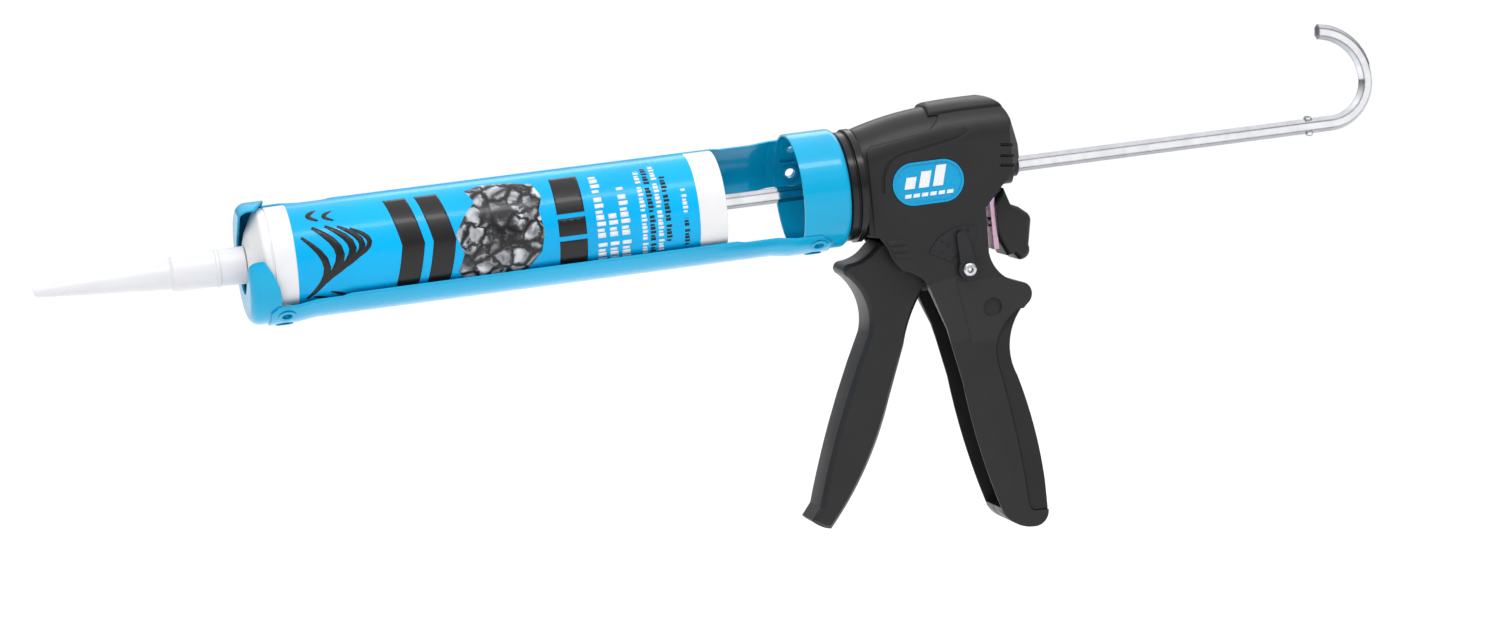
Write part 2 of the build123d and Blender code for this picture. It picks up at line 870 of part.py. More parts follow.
with BuildPart() as rear_grip:
    with BuildSketch(Plane.XZ):
        add(rear_grip_face())
        add(grip_face(), mode=Mode.INTERSECT)
    extrude(amount=insert_half, both=True)
save(rear_grip.part, "rear_grip")


# ---------------------------------------------------------------- trigger

def trigger_face():
    """Side outline of the lever, its spur and its mechanism end."""
    with BuildSketch(Plane.XZ) as face:
        with BuildLine():
            Line((391.5, -27.0), (386.0, -32.0))
            ThreePointArc((386.0, -32.0), (381.2, -34.6), (375.6, -35.6))
            ThreePointArc((375.6, -35.6), (372.9, -38.2), (374.6, -41.6))
            ThreePointArc((374.6, -41.6), (382.0, -54.0), (381.6, -70.0))
            ThreePointArc((381.6, -70.0), (363.6, -109.0), (349.6, -148.0))
            Line((349.6, -148.0), (345.0, -153.6))
            ThreePointArc((345.0, -153.6), (349.2, -157.2), (353.9, -158.8))
            ThreePointArc((353.9, -158.8), (372.6, -134.0), (388.2, -101.7))
            Line((388.2, -101.7), (398.2, -76.8))
            ThreePointArc((398.2, -76.8), (401.8, -66.5), (409.7, -53.0))
            Line((409.7, -53.0), (428.4, -51.9))
            Line((428.4, -51.9), (438.2, -42.2))
            Line((438.2, -42.2), (437.8, -29.0))
            Line((437.8, -29.0), (434.5, -24.8))
            Line((434.5, -24.8), (391.5, -27.0))
        make_face()
    return face.sketch_local


with BuildPart() as trigger:
    with BuildSketch(Plane.XZ):
        add(trigger_face())
    extrude(amount=trigger_half - trigger_edge, both=True)
    # sloped edges all round
    with BuildSketch(Plane.XZ.offset(trigger_half - trigger_edge)):
        add(trigger_face())
    extrude(amount=trigger_edge, taper=35)
    mirror(about=Plane.XZ)
    # fork that straddles the drive plates
    with BuildSketch(Plane.XZ):
        with Locations((431.0, -30.5)):
            Rectangle(26.0, 17.0)
    extrude(amount=5.2, both=True, mode=Mode.SUBTRACT)
    # pivot and roller bores
    with BuildSketch(Plane.XZ):
        with Locations((pivot_x, pivot_z)):
            Circle(pivot_radius + running_gap)
        with Locations((roller_x, roller_z)):
            Circle(roller_radius - 1.0)
    extrude(amount=20, both=True, mode=Mode.SUBTRACT)
    # pocket in the back of the lever, with cross ribs
    with BuildSketch(Plane.XZ):
        with BuildLine():
            Line((396.0, -57.0), (388.6, -72.0))
            ThreePointArc((388.6, -72.0), (371.0, -109.0), (357.6, -145.0))
            Line((357.6, -145.0), (375.0, -160.0))
            Line((375.0, -160.0), (412.0, -80.0))
            Line((412.0, -80.0), (402.6, -57.0))
            Line((402.6, -57.0), (396.0, -57.0))
        make_face()
        for x, z in [(388.0, -82.0), (378.0, -104.0), (368.0, -126.0)]:
            with Locations((x, z)):
                Rectangle(34, 1.8, rotation=-22, mode=Mode.SUBTRACT)
    extrude(amount=trigger_half - trigger_wall, both=True, mode=Mode.SUBTRACT)
save(trigger.part, "trigger")

with BuildPart() as trigger_roller:
    with BuildSketch(Plane.XZ):
        with Locations((roller_x, roller_z)):
            Circle(roller_radius - 1.0)
    extrude(amount=trigger_half - 0.2, both=True)
    with BuildSketch(Plane.XZ):
        with Locations((roller_x, roller_z)):
            Circle(roller_radius)
    extrude(amount=5.0, both=True)
save(trigger_roller.part, "trigger_roller")

with BuildPart() as trigger_pin:
    with BuildSketch(Plane.XZ.offset(trigger_half + 1.5)):
        with Locations((pivot_x, pivot_z)):
            Circle(pivot_radius)
    extrude(amount=-2 * trigger_half - 6.0)
    with BuildSketch(Plane.XZ.offset(trigger_half - 4)):
        with Locations((pivot_x, pivot_z)):
            Circle(selector_screw_radius)
    extrude(amount=10, mode=Mode.SUBTRACT)
save(trigger_pin.part, "trigger_pin")


# ---------------------------------------------------------------- selector

with BuildPart() as dial_plate:
    with BuildSketch(Plane.XZ.offset(head_half)):
        with Locations((pivot_x, pivot_z)):
            Circle(20.4)
        with BuildLine():
            Polyline(
                (pivot_x, pivot_z),
                (pivot_x + 9.0, pivot_z + 26.0),
                (pivot_x - 40.0, pivot_z + 40.0),
                (pivot_x - 26.0, pivot_z + 15.0),
                close=True,
            )
        make_face(mode=Mode.INTERSECT)
        with Locations((pivot_x, pivot_z)):
            Circle(9.0, mode=Mode.SUBTRACT)
    extrude(amount=dial_thickness)
    for mark_angle in (97.0, 124.0, 142.0):
        spot = (pivot_x + 15.0 * cos(radians(mark_angle)), pivot_z + 15.0 * sin(radians(mark_angle)))
        with BuildSketch(Plane.XZ.offset(head_half + dial_thickness)):
            with Locations(spot):
                Circle(1.1)
        extrude(amount=-0.4, mode=Mode.SUBTRACT)
save(dial_plate.part, "dial_plate")

lever_seat = head_half + dial_thickness + body_gap
knob_x = pivot_x - 1.8
knob_z = pivot_z + 15.6

with BuildPart() as selector_lever:
    with BuildSketch(Plane.XZ.offset(lever_seat)):
        with Locations((pivot_x, pivot_z)):
            Circle(5.0)
        with Locations((knob_x, knob_z)):
            Circle(2.7)
        with BuildLine():
            Polyline(
                (pivot_x - 3.9, pivot_z + 2.0),
                (knob_x - 2.7, knob_z),
                (knob_x + 2.7, knob_z),
                (pivot_x + 3.9, pivot_z + 2.0),
                close=True,
            )
        make_face()
    extrude(amount=lever_thickness)
    with BuildSketch(Plane.XZ.offset(trigger_half + 2.0)):
        with Locations((pivot_x, pivot_z)):
            Circle(sleeve_radius)
    extrude(amount=lever_seat - trigger_half - 2.0)
    with BuildSketch(Plane.XZ.offset(10)):
        with Locations((pivot_x, pivot_z)):
            Circle(selector_screw_radius + running_gap)
    extrude(amount=20, mode=Mode.SUBTRACT)
save(selector_lever.part, "selector_lever")

with BuildPart() as selector_screw:
    with BuildSketch(Plane.XZ.offset(trigger_half - 4)):
        with Locations((pivot_x, pivot_z)):
            Circle(selector_screw_radius)
    extrude(amount=lever_seat + lever_thickness + 0.1 - trigger_half + 4)
    with BuildSketch(Plane.XZ.offset(lever_seat + lever_thickness + 0.1)):
        with Locations((pivot_x, pivot_z)):
            Circle(3.3)
    extrude(amount=1.9)
    fillet(selector_screw.edges().sort_by(Axis.Y)[0], 1.2)
    with BuildSketch(Plane.XZ.offset(lever_seat + lever_thickness + 2.1)):
        with Locations((pivot_x, pivot_z)):
            RegularPolygon(1.25, 6, major_radius=False)
    extrude(amount=-1.5, mode=Mode.SUBTRACT)
save(selector_screw.part, "selector_screw")


# ---------------------------------------------------------------- drive, brake and springs

def grip_plate(station, thickness, half_width, top, tongue_half, bottom):
    """Flat plate square to the rod, with a clearance hole and a narrow tongue below."""
    with BuildPart() as plate:
        with BuildSketch(across(station)):
            with Locations((0, (top - 13.0) / 2)):
                RectangleRounded(2 * half_width, top + 13.0, 2.5)
            with Locations((0, (bottom - 8.0) / 2)):
                Rectangle(2 * tongue_half, -8.0 - bottom)
            Circle(rod_corner + 0.75, mode=Mode.SUBTRACT)
        extrude(amount=thickness)
    return plate.part


def coil(start, end, radius, wire, turns):
    """Compression spring around the rod."""
    with BuildPart() as spring:
        with BuildLine() as path:
            Helix(pitch=(end - start) / turns, height=end - start, radius=radius, center=(start, 0, 0),
                  direction=(1, 0, 0))
        with BuildSketch(path.line ^ 0):
            Circle(wire / 2)
        sweep()
    return spring.part


with BuildPart() as drive_plates:
    for row in range(2):
        station = drive_plate_x + row * plate_thickness
        add(grip_plate(station, plate_thickness, 9.0, 12.5, 4.4, -34.0))
save(drive_plates.part, "drive_plates")

with BuildPart() as drive_spring:
    add(coil(390.0, 422.8, 6.6, 1.2, 7))
save(drive_spring.part, "drive_spring")

with BuildPart() as release_plate:
    add(grip_plate(brake_plate_x, plate_thickness, 9.0, 13.0, 9.0, -38.0))
save(release_plate.part, "release_plate")

with BuildPart() as brake_spring:
    add(coil(440.2, 446.6, 6.0, 1.0, 2))
save(brake_spring.part, "brake_spring")

with BuildPart() as release_pad:
    pad_front = brake_plate_x + plate_thickness
    with BuildSketch(Plane.XZ):
        with BuildLine():
            Line((pad_front, -14.0), (455.0, -9.6))
            Line((455.0, -9.6), (457.6, -17.6))
            Line((457.6, -17.6), (461.4, -19.4))
            Line((461.4, -19.4), (465.0, -22.4))
            ThreePointArc((465.0, -22.4), (466.5, -24.6), (466.6, -27.2))
            Line((466.6, -27.2), (464.5, -38.0))
            ThreePointArc((464.5, -38.0), (462.8, -43.6), (459.4, -44.4))
            Line((459.4, -44.4), (456.8, -41.4))
            Line((456.8, -41.4), (453.6, -41.7))
            Line((453.6, -41.7), (pad_front + 0.6, -35.0))
            Line((pad_front + 0.6, -35.0), (pad_front, -33.0))
            Line((pad_front, -33.0), (pad_front, -14.0))
        make_face()
    extrude(amount=pad_half, both=True)
    pad_rims = release_pad.edges().filter_by_position(Axis.Y, -pad_half, -pad_half)
    pad_rims += release_pad.edges().filter_by_position(Axis.Y, pad_half, pad_half)
    fillet([rim for rim in pad_rims if rim.center().X > pad_front + 2], 3.0)
save(release_pad.part, "release_pad")

with BuildPart() as release_rivets:
    for side in (-5.0, 5.0):
        with BuildSketch(Plane(origin=(brake_plate_x - 0.9, side, -25.0), x_dir=(0, 1, 0), z_dir=(1, 0, 0))):
            Circle(2.2)
        extrude(amount=0.9)
save(release_rivets.part, "release_rivets")

with BuildPart() as rear_bushing:
    add(turned([
        (451.5, guide_bore),
        (451.5, 5.6),
        (464.2, 5.6),
        (rod_exit, 4.8),
        (rod_exit, guide_bore),
    ]))
save(rear_bushing.part, "rear_bushing")
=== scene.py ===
import bpy
import bmesh
import math
from mathutils import Matrix, Vector


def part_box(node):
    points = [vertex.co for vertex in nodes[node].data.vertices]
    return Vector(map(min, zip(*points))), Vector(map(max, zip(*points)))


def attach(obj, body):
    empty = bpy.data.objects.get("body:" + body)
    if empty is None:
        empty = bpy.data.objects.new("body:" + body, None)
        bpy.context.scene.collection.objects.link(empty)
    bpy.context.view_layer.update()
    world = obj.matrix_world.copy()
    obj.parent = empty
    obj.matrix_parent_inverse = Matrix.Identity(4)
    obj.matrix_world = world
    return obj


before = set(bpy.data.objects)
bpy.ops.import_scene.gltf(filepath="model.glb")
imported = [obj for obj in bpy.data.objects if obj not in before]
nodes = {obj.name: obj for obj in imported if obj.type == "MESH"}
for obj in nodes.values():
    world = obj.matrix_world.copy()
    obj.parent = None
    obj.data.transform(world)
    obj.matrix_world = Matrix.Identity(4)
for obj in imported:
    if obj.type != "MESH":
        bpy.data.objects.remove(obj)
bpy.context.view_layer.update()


# ------------------------------------------------------------------ material helpers

class Net:
    """Builds one node material round a Principled shader, in object coordinates."""

    def __init__(self, name):
        self.mat = bpy.data.materials.new(name)
        self.mat.use_nodes = True
        self.tree = self.mat.node_tree
        self.tree.nodes.clear()
        out = self.add("ShaderNodeOutputMaterial")
        self.bsdf = self.add("ShaderNodeBsdfPrincipled")
        self.link(self.bsdf.outputs[0], out.inputs[0])
        self.coord = self.add("ShaderNodeTexCoord").outputs["Object"]

    def add(self, kind, **values):
        node = self.tree.nodes.new(kind)
        for key, value in values.items():
            setattr(node, key, value)
        return node

    def link(self, a, b):
        self.tree.links.new(a, b)

    def set(self, **values):
        """Constant values on the shader's own sockets."""
        for key, value in values.items():
            self.bsdf.inputs[key.replace("_", " ")].default_value = value

    def math(self, operation, *values):
        node = self.add("ShaderNodeMath", operation=operation)
        for slot, value in enumerate(values):
            if isinstance(value, (int, float)):
                node.inputs[slot].default_value = value
            else:
                self.link(value, node.inputs[slot])
        return node.outputs[0]

    def noise(self, scale, detail, stretch=None, distortion=0.0):
        node = self.add("ShaderNodeTexNoise")
        node.inputs["Scale"].default_value = scale
        node.inputs["Detail"].default_value = detail
        node.inputs["Roughness"].default_value = 0.5
        node.inputs["Distortion"].default_value = distortion
        source = self.coord
        if stretch:
            mapping = self.add("ShaderNodeMapping")
            mapping.inputs["Scale"].default_value = stretch
            self.link(self.coord, mapping.inputs["Vector"])
            source = mapping.outputs[0]
        self.link(source, node.inputs["Vector"])
        return node.outputs[0]

    def ramp(self, fac, stops):
        """Colour ramp; stops are (position, (r, g, b))."""
        node = self.add("ShaderNodeValToRGB")
        elements = node.color_ramp.elements
        while len(elements) < len(stops):
            elements.new(0.5)
        for element, (position, colour) in zip(elements, stops):
            element.position = position
            element.color = (*colour, 1)
        self.link(fac, node.inputs[0])
        return node.outputs[0]

    def multiply(self, a, b):
        """Product of two colours."""
        node = self.add("ShaderNodeMix", data_type="RGBA", blend_type="MULTIPLY")
        node.inputs["Factor"].default_value = 1.0
        self.link(a, node.inputs[6])
        self.link(b, node.inputs[7])
        return node.outputs[2]

    def spread(self, fac, low, high):
        """Maps the useful middle of a noise onto a range of values."""
        node = self.add("ShaderNodeMapRange")
        node.inputs["From Min"].default_value = 0.25
        node.inputs["From Max"].default_value = 0.75
        node.inputs["To Min"].default_value = low
        node.inputs["To Max"].default_value = high
        self.link(fac, node.inputs[0])
        return node.outputs[0]

    def bump(self, height, strength, distance, before=None):
        node = self.add("ShaderNodeBump")
        node.inputs["Strength"].default_value = strength
        node.inputs["Distance"].default_value = distance
        self.link(height, node.inputs["Height"])
        if before:
            self.link(before, node.inputs["Normal"])
        return node.outputs[0]

    def soften(self, radius):
        """Rounded shading along hard edges."""
        node = self.add("ShaderNodeBevel", samples=4)
        node.inputs["Radius"].default_value = radius
        return node.outputs[0]

    def finish(self, colour, rough, normal=None):
        self.link(colour, self.bsdf.inputs["Base Color"])
        self.link(rough, self.bsdf.inputs["Roughness"])
        if normal:
            self.link(normal, self.bsdf.inputs["Normal"])
        return self.mat


def shaded(base, factor):
    return tuple(factor * c for c in base)


# ------------------------------------------------------------------ material families

def moulded(name, base, rough, grain, edge=0.0004):
    """Fine-grained moulded plastic or rubber."""
    n = Net(name)
    fine = n.noise(2600, 2.0)
    broad = n.noise(60, 3.0)
    tone = n.ramp(broad, [(0.3, shaded(base, 0.92)), (0.7, shaded(base, 1.08))])
    n.set(IOR=1.5, Specular_IOR_Level=0.28)
    normal = n.bump(fine, grain, 0.00012, n.soften(edge))
    return n.finish(tone, n.spread(fine, rough - 0.05, rough + 0.07), normal)


def painted(name, base):
    """Gloss powder coat with a little orange peel."""
    n = Net(name)
    peel = n.noise(160, 1.0)
    broad = n.noise(25, 2.0)
    tone = n.ramp(broad, [(0.3, shaded(base, 0.94)), (0.7, shaded(base, 1.05))])
    n.set(IOR=1.5, Specular_IOR_Level=0.22, Coat_Weight=0.22, Coat_Roughness=0.04)
    normal = n.bump(peel, 0.035, 0.0002, n.soften(0.0005))
    return n.finish(tone, n.spread(peel, 0.20, 0.25), normal)


def plated(name, base, rough, lines=(40, 900, 900), edge=0.0004):
    """Plated steel: fine drawn lines, painted shade along the edges, and painted shade
    darkening the upper and lower faces.
    """
    n = Net(name)
    drawn = n.noise(1.0, 3.0, stretch=lines)
    spots = n.noise(180, 4.0)
    tone = n.ramp(spots, [(0.35, shaded(base, 0.88)), (0.65, base)])
    n.set(Metallic=1.0)
    normal = n.add("ShaderNodeNewGeometry").outputs["Normal"]
    rounded = n.soften(edge)

    # painted shade: thin dark lines painted along the edges, where the rounded normal turns
    # away from the true normal
    turn = n.add("ShaderNodeVectorMath", operation="DOT_PRODUCT")
    n.link(rounded, turn.inputs[0])
    n.link(normal, turn.inputs[1])
    edges = n.ramp(turn.outputs["Value"], [(0.93, (0.10, 0.10, 0.11)), (0.997, (1, 1, 1))])

    # painted shade: colour darkened by which way the face points, most on faces pointing down
    # and less on faces pointing up
    facing = n.add("ShaderNodeSeparateXYZ")
    n.link(normal, facing.inputs[0])
    upward = n.math("MULTIPLY_ADD", facing.outputs["Z"], 0.5, 0.5)
    facing_shade = n.ramp(upward, [(0.0, (0.30, 0.31, 0.33)), (0.3, (0.68, 0.70, 0.73)),
                              (0.5, (1, 1, 1)), (0.78, (0.84, 0.85, 0.87)),
                              (1.0, (0.50, 0.50, 0.52))])
    # base tone multiplied by the painted facing shade and the painted edge shade
    colour = n.multiply(n.multiply(tone, facing_shade), edges)
    return n.finish(colour, n.spread(drawn, rough * 0.7, rough * 1.5),
                    n.bump(drawn, 0.10, 0.0001, rounded))


def smooth_plastic(name, base, rough, depth=0.0):
    """Smooth light plastic; depth lets some light into it."""
    n = Net(name)
    broad = n.noise(40, 2.0)
    fine = n.noise(900, 2.0)
    tone = n.ramp(broad, [(0.3, shaded(base, 0.97)), (0.7, base)])
    n.set(IOR=1.49)
    if depth:
        n.set(Subsurface_Weight=depth, Subsurface_Scale=0.004)
    normal = n.bump(fine, 0.05, 0.0001, n.soften(0.0004))
    return n.finish(tone, n.spread(broad, rough - 0.04, rough + 0.05), normal)


def ink(name, base, rough=0.3):
    """Glossy printing ink."""
    n = Net(name)
    fine = n.noise(1500, 2.0)
    tone = n.ramp(fine, [(0.3, shaded(base, 0.8)), (0.7, base)])
    n.set(IOR=1.5, Specular_IOR_Level=0.25, Coat_Weight=0.12, Coat_Roughness=0.06)
    return n.finish(tone, n.spread(fine, rough, rough + 0.06))


def passivated(name):
    """Zinc plate whose colour drifts between pale blue, pink and violet."""
    n = Net(name)
    drift = n.noise(70, 2.0, distortion=0.6)
    tone = n.ramp(drift, [(0.28, (0.34, 0.48, 0.66)), (0.44, (0.66, 0.42, 0.60)),
                          (0.56, (0.72, 0.46, 0.46)), (0.70, (0.52, 0.44, 0.68))])
    n.set(Metallic=1.0)
    fine = n.noise(500, 2.0)
    normal = n.bump(fine, 0.1, 0.0001, n.soften(0.0003))
    return n.finish(tone, n.spread(fine, 0.16, 0.30), normal)


def print_film(name):
    """Label film: bright blue that varies a little over broad sweeps."""
    n = Net(name)
    sweep = n.noise(9, 1.5, distortion=0.8)
    tone = n.ramp(sweep, [(0.35, (0.0, 0.34, 0.68)), (0.65, (0.0, 0.40, 0.76))])
    n.set(IOR=1.5, Specular_IOR_Level=0.15, Coat_Weight=0.10, Coat_Roughness=0.05)
    fine = n.noise(300, 1.0)
    return n.finish(tone, n.spread(fine, 0.22, 0.28), n.bump(fine, 0.015, 0.0001))


def stone_print(name):
    """Heap of cracked stones, the picture on the label."""
    n = Net(name)
    shift = n.add("ShaderNodeVectorMath", operation="MULTIPLY_ADD")
    n.link(n.noise(260, 3.0), shift.inputs[0])
    shift.inputs[1].default_value = (0.006, 0.006, 0.006)
    n.link(n.coord, shift.inputs[2])
    cracks = n.add("ShaderNodeTexVoronoi", feature="DISTANCE_TO_EDGE")
    cracks.inputs["Scale"].default_value = 120
    n.link(shift.outputs[0], cracks.inputs["Vector"])
    flat = n.math("MINIMUM", n.math("MULTIPLY", cracks.outputs["Distance"], 5.0), 1.0)
    cloud = n.noise(70, 4.0, distortion=1.2)
    face = n.math("MULTIPLY", flat, n.math("POWER", cloud, 2.4))
    tone = n.ramp(face, [(0.02, (0.010, 0.010, 0.011)), (0.10, (0.05, 0.05, 0.053)),
                         (0.20, (0.32, 0.33, 0.35)), (0.36, (0.74, 0.76, 0.79))])
    n.set(IOR=1.5, Specular_IOR_Level=0.25, Coat_Weight=0.12, Coat_Roughness=0.06)
    return n.finish(tone, n.spread(cloud, 0.26, 0.34))


def pale_floor(name):
    n = Net(name)
    n.set(Specular_IOR_Level=0.1)
    tone = n.ramp(n.noise(0.8, 2.0), [(0.3, (0.955,) * 3), (0.7, (0.965,) * 3)])
    return n.finish(tone, n.spread(n.noise(3, 2.0), 0.7, 0.8))


nylon = moulded("nylon_black", (0.0155, 0.0155, 0.0165), 0.38, 0.3, edge=0.0009)
nylon_fine = moulded("nylon_fine", (0.016, 0.016, 0.018), 0.40, 0.15)
rubber = moulded("rubber_grip", (0.013, 0.013, 0.014), 0.62, 0.5)
bush_black = moulded("bush_gloss", (0.010, 0.010, 0.011), 0.22, 0.06)
sky = painted("paint_sky", (0.0, 0.36, 0.62))
tube_white = smooth_plastic("tube_white", (0.74, 0.74, 0.75), 0.30)
natural = smooth_plastic("nozzle_natural", (0.69, 0.69, 0.71), 0.36, depth=0.3)
chrome = plated("rod_plate", (0.90, 0.91, 0.93), 0.08, edge=0.0012)
steel = plated("steel_dark", (0.34, 0.34, 0.35), 0.28, (300, 300, 300))
wire = plated("spring_wire", (0.42, 0.42, 0.43), 0.22, (200, 200, 200))
zinc = passivated("zinc_passivated")
label = print_film("label_blue")
ink_black = ink("ink_black", (0.012, 0.012, 0.013))
ink_white = ink("ink_white", (0.80, 0.82, 0.84))
badge_blue = ink("badge_blue", (0.0, 0.33, 0.62), 0.2)
stone = stone_print("ink_stone")

finish_of = {
    "nozzle": natural, "cartridge": tube_white, "cartridge_label": label,
    "cartridge_piston": natural, "front_cap": sky, "upper_rail": sky, "lower_rail": sky,
    "rear_collar": sky, "rail_eyelets": sky, "swivel_bush": bush_black,
    "swivel_washer": chrome, "swivel_nut": chrome, "rod": chrome, "plunger_disc": chrome,
    "plunger_washer": chrome, "plunger_nuts": chrome, "rear_bushing": bush_black,
    "body_left": nylon, "body_right": nylon, "body_screws": steel, "top_cap": nylon,
    "badge_left": badge_blue, "badge_right": badge_blue, "rear_grip": rubber,
    "trigger": nylon, "trigger_roller": steel, "trigger_pin": steel,
    "dial_plate": nylon_fine, "selector_lever": nylon_fine, "selector_screw": chrome,
    "drive_plates": steel, "drive_spring": wire, "brake_spring": wire,
    "release_plate": zinc, "release_pad": nylon, "release_rivets": steel,
}
for name, obj in nodes.items():
    obj.data.materials.clear()
    obj.data.materials.append(finish_of[name])


# ------------------------------------------------------------------ rounded edges

def round_edges(name, width):
    """Real edge rounding on a CAD node, by modifiers only."""
    obj = nodes[name]
    weld = obj.modifiers.new("weld", "WELD")
    weld.merge_threshold = 0.00001
    flat = obj.modifiers.new("flat", "DECIMATE")
    flat.decimate_type = "DISSOLVE"
    flat.angle_limit = math.radians(1.0)
    bevel = obj.modifiers.new("bevel", "BEVEL")
    bevel.width = width
    bevel.segments = 3
    bevel.limit_method = "ANGLE"
    bevel.angle_limit = math.radians(32)
    bevel.harden_normals = True


for name, width in [("release_pad", 0.0012), ("trigger", 0.0012), ("body_left", 0.0008),
                    ("body_right", 0.0008), ("rear_grip", 0.002),
                    ("selector_lever", 0.0004), ("top_cap", 0.0005)]:
    round_edges(name, width)


# ------------------------------------------------------------------ printed label
# Outlines are lists of (station, angle): metres along the tube, and degrees round it
# from the -Y side towards the top.

label_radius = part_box("cartridge_label")[1].z
print_lift = 0.00003
print_thickness = 0.00004
longest_edge = 0.0022


def shown(name, data):
    """New object in the scene."""
    obj = bpy.data.objects.new(name, data)
    bpy.context.collection.objects.link(obj)
    return obj


def wrap(name, outlines, material):
    """Thin printed patches, cut fine enough to follow the tube."""
    mesh = bpy.data.meshes.new(name)
    bm = bmesh.new()
    for outline in outlines:
        bm.faces.new([bm.verts.new((x, math.radians(a) * label_radius, 0)) for x, a in outline])
    bmesh.ops.triangulate(bm, faces=bm.faces[:])
    for _ in range(6):
        long_edges = [e for e in bm.edges if e.calc_length() > longest_edge]
        if not long_edges:
            break
        bmesh.ops.subdivide_edges(bm, edges=long_edges, cuts=1, use_grid_fill=False)
        bmesh.ops.triangulate(bm, faces=bm.faces[:])
    radius = label_radius + print_lift
    for v in bm.verts:
        angle = v.co.y / label_radius
        v.co = Vector((v.co.x, -radius * math.cos(angle), radius * math.sin(angle)))
    bmesh.ops.recalc_face_normals(bm, faces=bm.faces[:])
    bm.to_mesh(mesh)
    bm.free()
    for p in mesh.polygons:
        p.use_smooth = True
    mesh.materials.append(material)
    obj = shown(name, mesh)
    if mesh.polygons[0].normal.y > 0:
        mesh.flip_normals()
    solid = obj.modifiers.new("thick", "SOLIDIFY")
    solid.thickness = print_thickness
    solid.offset = -1
    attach(obj, "tube")


def bar(x0, x1, a0, a1):
    return [(x0, a0), (x1, a0), (x1, a1), (x0, a1)]


def blocks(x, size, start, end, pitch):
    """Row of small blocks with word gaps, standing in for small print."""
    row = []
    angle = start
    count = 0
    while angle < end:
        wide = pitch * (0.62 + 0.16 * (count * 7 % 3))
        tall = size * (0.78 + 0.11 * (count * 5 % 3))
        row.append(bar(x, x + tall, angle, min(angle + wide, end)))
        count += 1
        angle += pitch * (1.9 if count * 3 % 7 == 1 else 1.15)
    return row


def stroke(name, spine, width, material):
    """Tapered brush stroke along the points of a spine."""
    left, right = [], []
    last = len(spine) - 1
    for i, (x, a) in enumerate(spine):
        x0, a0 = spine[max(i - 1, 0)]
        x1, a1 = spine[min(i + 1, last)]
        dx, dy = x1 - x0, math.radians(a1 - a0) * label_radius
        size = math.hypot(dx, dy)
        half = width * 0.5 * math.sin(math.pi * (0.12 + 0.76 * i / last))
        nx, ny = -dy / size * half, dx / size * half
        left.append((x + nx, a + math.degrees(ny / label_radius)))
        right.append((x - nx, a - math.degrees(ny / label_radius)))
    wrap(name, [left + right[::-1]], material)


# line-art sweeps at the front: station, first angle, angle swept, bow, width
sweeps = [(0.1200, -44, 70, 0.0100, 0.0034), (0.1255, -30, 66, 0.0110, 0.0042),
          (0.1315, -20, 56, 0.0110, 0.0036), (0.1370, -12, 46, 0.0100, 0.0030),
          (0.1425, -4, 34, 0.0080, 0.0024), (0.1290, 44, 16, -0.0040, 0.0026),
          (0.1360, 42, 14, -0.0040, 0.0022), (0.1230, -56, 14, 0.0060, 0.0026),
          (0.1310, -54, 16, 0.0060, 0.0024)]
for i, (x, start, span, bow, width) in enumerate(sweeps):
    spine = [(x + bow * math.sin(t * math.pi / 8), start + span * t / 8) for t in range(9)]
    stroke("label_sweep_%d" % i, spine, width, ink_black)

# two bold chevrons
chevron_width, chevron_point = 0.0105, 0.005
for i, x in enumerate((0.1600, 0.1745)):
    far = x + chevron_width
    chevron = [(x, -55), (far, -55), (far + chevron_point, 4),
               (far, 62), (x, 62), (x + chevron_point, 4)]
    wrap("label_chevron_%d" % i, [chevron], ink_black)

# picture patch with a ragged outline
patch = [(0.1960, -58), (0.2030, -64), (0.2150, -60), (0.2230, -40), (0.2290, -22),
         (0.2310, 0), (0.2295, 22), (0.2320, 38), (0.2290, 58), (0.2180, 66),
         (0.2060, 68), (0.1980, 60), (0.2010, 42), (0.1950, 26), (0.1900, 8),
         (0.1930, -14), (0.1900, -34)]
wrap("label_picture", [patch], stone)

# three heavy bars in one column
heavy = [bar(0.2375, 0.2505, a0, a1) for a0, a1 in [(-48, -14), (-9, 10), (15, 62)]]
wrap("label_heavy", heavy, ink_black)

# rows of blank small print: station, height, first angle, last angle, pitch, ink
rows = [(0.2555, 0.0042, -52, 58, 5.6, ink_white), (0.2612, 0.0042, -52, 10, 5.6, ink_white),
        (0.2669, 0.0042, -52, 40, 5.6, ink_white), (0.2765, 0.0026, -48, 56, 3.6, ink_white),
        (0.2803, 0.0026, -50, 60, 3.6, ink_black), (0.2841, 0.0026, -46, 62, 3.6, ink_white),
        (0.2879, 0.0026, -30, 44, 3.6, ink_black), (0.2965, 0.0024, -38, -6, 3.6, ink_black),
        (0.2965, 0.0024, 0, 26, 3.6, ink_white)]
for r, (x, size, start, end, pitch, material) in enumerate(rows):
    wrap("label_print_%d" % r, blocks(x, size, start, end, pitch), material)

# directions panel on the far side
for r in range(9):
    size = 0.0034 if r < 2 else 0.0022
    material = ink_black if r % 4 == 1 else ink_white
    panel_row = blocks(0.158 + 0.0125 * r, size, 186, 214 + 11 * (r * 5 % 4), 3.6)
    wrap("label_back_%d" % r, panel_row, material)


# ------------------------------------------------------------------ badge motif
# Flat shapes here are in millimetres in the XZ plane, like the CAD.

badge_face = 19.12
motif_relief = 0.22


def plate(name, outlines, y, depth, material, body):
    """Flat relief: closed (x, z) outlines raised outward from the plane y."""
    mesh = bpy.data.meshes.new(name)
    bm = bmesh.new()
    top = y + (-depth if y < 0 else depth)
    for outline in outlines:
        low = [bm.verts.new((px / 1000, y / 1000, pz / 1000)) for px, pz in outline]
        high = [bm.verts.new((px / 1000, top / 1000, pz / 1000)) for px, pz in outline]
        bm.faces.new(low)
        bm.faces.new(high[::-1])
        for i in range(len(outline)):
            j = (i + 1) % len(outline)
            bm.faces.new((low[i], high[i], high[j], low[j]))
    bmesh.ops.recalc_face_normals(bm, faces=bm.faces[:])
    bm.to_mesh(mesh)
    bm.free()
    mesh.materials.append(material)
    obj = shown(name, mesh)
    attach(obj, body)


